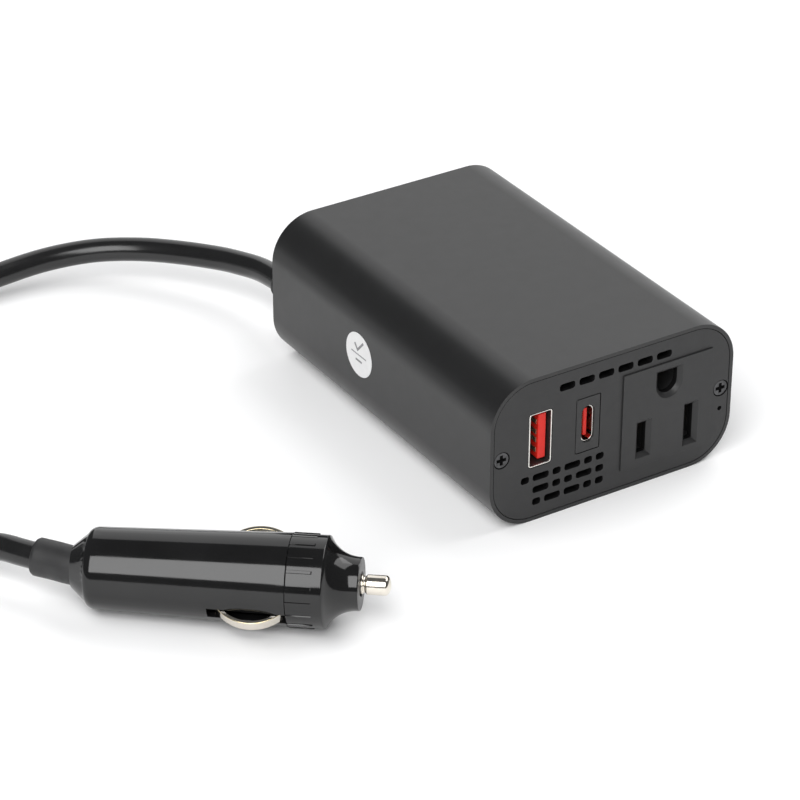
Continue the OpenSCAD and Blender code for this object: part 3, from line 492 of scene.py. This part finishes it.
RELIEF_RINGS = 36
RELIEF_R, RELIEF_END_R = 4.08, 3.8
RELIEF = [
    (-124, -13.9, 9.1), (-121.55, -17.05, 9), (-118.95, -20.75, 8.9), (-116.5, -23, 8.83),
    (-113.4, -25.6, 8.93),
]
relief_line = resampled(RELIEF, RELIEF_RINGS)
relief = new_object(
    "plug_strain_relief_look",
    tube("plug_strain_relief_look", relief_line,
         [RELIEF_END_R] + [RELIEF_R] * (RELIEF_RINGS - 1)),
    BODY["plug_strain_relief"],
)
relief.data.materials.append(MAT["relief"])
smooth(relief, 35)
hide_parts("plug_strain_relief")


# Nose cap: X along the plug's axis from the ring's front, the radius, and 1 where a rib stands
CAP_R, CAP_FACE, FACE_R, PIN_HOLE, SPIGOT_R = 9.65, 7.0, 5.42, 2.18, 4.5
SCOOP_AT, SCOOP_R = (6.5, 12.68), 7.08
RIBS, RIB_PHASE, RIB_HALF_DEG, RIB_H = 18, 16.7, 1.6, 0.2
RIB_FLANK = 0.5                     # degrees over which a rib rises
BETWEEN_RIBS = (4.5, 7.1, 9.7, 12.3, 14.9)
CAP_PROFILE = (
    [(-13.7, SPIGOT_R, 0), (-7.45, SPIGOT_R, 0), (-7.45, 9.45, 0), (-7.43, 9.53, 1),
     (-7.36, 9.62, 1), (-7.25, CAP_R, 1), (-7.15, CAP_R, 1), (-2.2, CAP_R, 1), (-2, CAP_R, 0),
     (-0.3, CAP_R, 0), (-0.1, CAP_R, 0), (0.05, 9.61, 0), (0.17, 9.5, 0)]
    + [(SCOOP_AT[0] - SCOOP_R * math.cos(math.radians(a)),
        SCOOP_AT[1] - SCOOP_R * math.sin(math.radians(a)), 0) for a in range(32, 91, 5)]
    + [(6.5, 5.6, 0), (6.85, 5.58, 0), (6.96, 5.53, 0), (CAP_FACE, FACE_R, 0),
       (CAP_FACE, 2.85, 0), (6.4, PIN_HOLE, 0), (-0.9, PIN_HOLE, 0), (-0.9, 3.8, 0),
       (-13.7, 3.8, 0)]
)


def cap_mesh():
    """Lathe of the cap's profile whose rings step out at the ribs."""
    pitch = 360 / RIBS
    foot = RIB_HALF_DEG + RIB_FLANK
    steps = [(-foot, 0), (-RIB_HALF_DEG, 1), (RIB_HALF_DEG, 1), (foot, 0)]
    steps += [(a, 0) for a in BETWEEN_RIBS]
    bm = bmesh.new()
    rings = []
    for turn in range(RIBS):
        for deg, on in steps:
            a = math.radians(turn * pitch + RIB_PHASE + deg)
            rings.append([
                bm.verts.new(PLUG @ (Vector((
                    x, (r + RIB_H * rib * on) * math.cos(a), (r + RIB_H * rib * on) * math.sin(a),
                )) * MM))
                for x, r, rib in CAP_PROFILE
            ])
    count = len(CAP_PROFILE)
    for a, b in zip(rings, rings[1:] + rings[:1]):
        for k in range(count):
            q = (k + 1) % count
            face = bm.faces.new((a[k], a[q], b[q], b[k]))
            face.material_index = int(CAP_PROFILE[k][:2] == (CAP_FACE, FACE_R))
    bmesh.ops.recalc_face_normals(bm, faces=bm.faces[:])
    mesh = bpy.data.meshes.new("nose_cap_look")
    bm.to_mesh(mesh)
    bm.free()
    return mesh


cap = new_object("nose_cap_look", cap_mesh(), BODY["nose_cap"])
cap.data.materials.append(MAT["plug_black"])
cap.data.materials.append(MAT["plug_face"])
smooth(cap, 28)
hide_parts("nose_cap")
looks["nose_cap"] = cap


# Mark on the sticker: a tick over a thin line with a dash below, a little proud of the paper
LABEL_X, LABEL_Y, LABEL_Z = -32.1, 7.4, 19.05
MARK_T = 0.03
MARK_STROKES = (                    # corners in Y and Z from the sticker's middle, and the width
    ([(3.1, 0), (-3.1, 0)], 0.28),
    ([(1.7, 2.5), (0.5, 1.1), (-1.9, 3.7)], 0.55),
    ([(1.3, -1.5), (-1.3, -1.5)], 0.5),
)


def stroke(points, width):
    """Outline of a bent stroke with square ends, as corners in Y and Z."""
    p = [Vector(q) for q in points]
    left, right = [], []
    for i, q in enumerate(p):
        before = (q - p[i - 1]).normalized() if i else (p[1] - q).normalized()
        after = (p[i + 1] - q).normalized() if i < len(p) - 1 else before
        mitre = (before + after).normalized().orthogonal()
        reach = width / 2 / max(0.5, mitre.dot(before.orthogonal()))
        left.append(q + mitre * reach)
        right.append(q - mitre * reach)
    return left + right[::-1]


def mark_mesh():
    """The strokes as thin plates on the sticker."""
    bm = bmesh.new()
    for points, width in MARK_STROKES:
        corners = stroke(points, width)
        rings = [
            [bm.verts.new(Vector((LABEL_X - t, LABEL_Y + c.x, LABEL_Z + c.y)) * MM)
             for c in corners]
            for t in (0, MARK_T)
        ]
        count = len(corners)
        bm.faces.new(rings[0])
        bm.faces.new(rings[1][::-1])
        for k in range(count):
            q = (k + 1) % count
            bm.faces.new((rings[0][k], rings[0][q], rings[1][q], rings[1][k]))
    bmesh.ops.recalc_face_normals(bm, faces=bm.faces[:])
    mesh = bpy.data.meshes.new("sticker_mark")
    bm.to_mesh(mesh)
    bm.free()
    return mesh


mark = new_object("sticker_mark", mark_mesh(), BODY["inspection_sticker"])
mark.data.materials.append(MAT["mark"])


# ---------- floor and light ----------

def floor_material():
    """A nearly white sheet with faint broad patches."""
    mat, tree, shader, coords = node_tree("studio_floor")
    tree.links.new(
        mixed(tree, noise(tree, coords, 300), (0.93, 0.93, 0.935), (0.95, 0.95, 0.95)),
        shader.inputs["Base Color"],
    )
    shader.inputs["Roughness"].default_value = 0.6
    return mat


FLOOR_HALF = 2.5
floor_mesh = bpy.data.meshes.new("floor")
floor_mesh.from_pydata(
    [(x, y, 0) for x, y in ((-FLOOR_HALF, -FLOOR_HALF), (FLOOR_HALF, -FLOOR_HALF),
                            (FLOOR_HALF, FLOOR_HALF), (-FLOOR_HALF, FLOOR_HALF))],
    [], [(0, 1, 2, 3)],
)
floor_mesh.materials.append(floor_material())
new_object("floor", floor_mesh)


LIGHT_TARGET = Vector((-0.03, 0.0, 0.01))


def softbox(name, azimuth, elevation, distance, width, height, radiance):
    """Area light that faces the target. Azimuth is from -Y, counterclockwise from above."""
    a, e = math.radians(azimuth), math.radians(elevation)
    back = Vector((math.sin(a) * math.cos(e), -math.cos(a) * math.cos(e), math.sin(e)))
    light = bpy.data.lights.new(name, "AREA")
    light.shape, light.size, light.size_y = "RECTANGLE", width, height
    light.energy = radiance * math.pi * width * height
    obj = new_object(name, light)
    obj.matrix_world = (
        Matrix.Translation(LIGHT_TARGET + distance * back)
        @ Matrix.Rotation(a, 4, "Z")
        @ Matrix.Rotation(math.pi / 2 - e, 4, "X")
    )
    return obj


# Azimuth, elevation, distance, width, height in metres, and radiance
softbox("key_softbox", -46, 40, 1.1, 0.75, 0.89, 5.0)
softbox("back_softbox", 137, 32, 1.3, 1.5, 1.5, 1.05)
softbox("side_softbox", 90, 52, 1.3, 0.9, 0.9, 2.6)
fill = softbox("fill_softbox", -100, 58, 1.3, 0.9, 0.9, 2.6)
fill.visible_glossy = False

world = bpy.data.worlds.new("studio")
world.use_nodes = True
world.node_tree.nodes["Background"].inputs["Color"].default_value = (0.96, 0.98, 1, 1)
world.node_tree.nodes["Background"].inputs["Strength"].default_value = 0.12
scene.world = world
